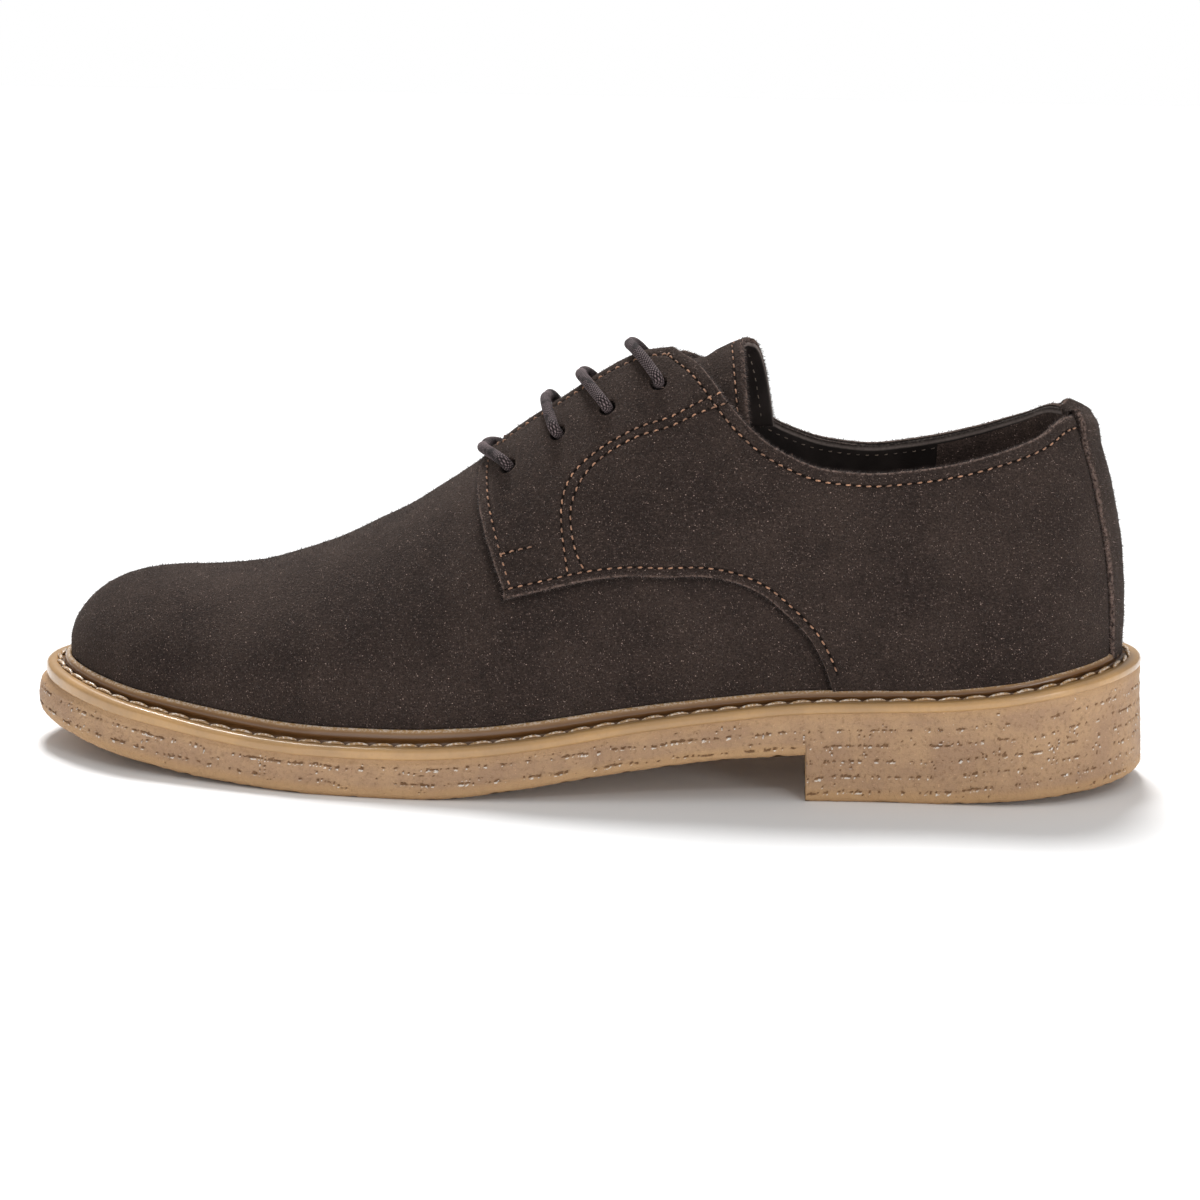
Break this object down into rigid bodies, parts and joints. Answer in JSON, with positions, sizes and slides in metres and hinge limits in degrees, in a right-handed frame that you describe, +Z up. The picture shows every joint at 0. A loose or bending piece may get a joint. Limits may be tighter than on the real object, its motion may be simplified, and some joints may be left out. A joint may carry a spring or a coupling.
{
  "type": "lace-up shoe",
  "caption": "Open-laced suede derby shoe, left foot, with punched eyelets, round laces, a stitched smooth welt and a ribbed moulded sole with a block heel.",
  "frame": {"origin": "on the floor, at the middle of the sole's length and width", "axes": "+X from toe to heel along the shoe, -Y towards the outer side of the foot, +Z up"},
  "size_m": [0.302, 0.1071, 0.1169],
  "materials": {
    "outsole": "satin, crepe-like grain",
    "welt": "smooth, glossy",
    "insole": "smooth",
    "upper": "suede",
    "tongue": "suede",
    "backstay": "suede",
    "laces": "braided, waxed"
  },
  "bodies": {
    "root": {"outsole": "outsole", "welt": "welt", "insole": "insole", "upper": "upper", "tongue": "tongue", "backstay": "backstay", "laces": "laces"}
  },
  "joints": []
}
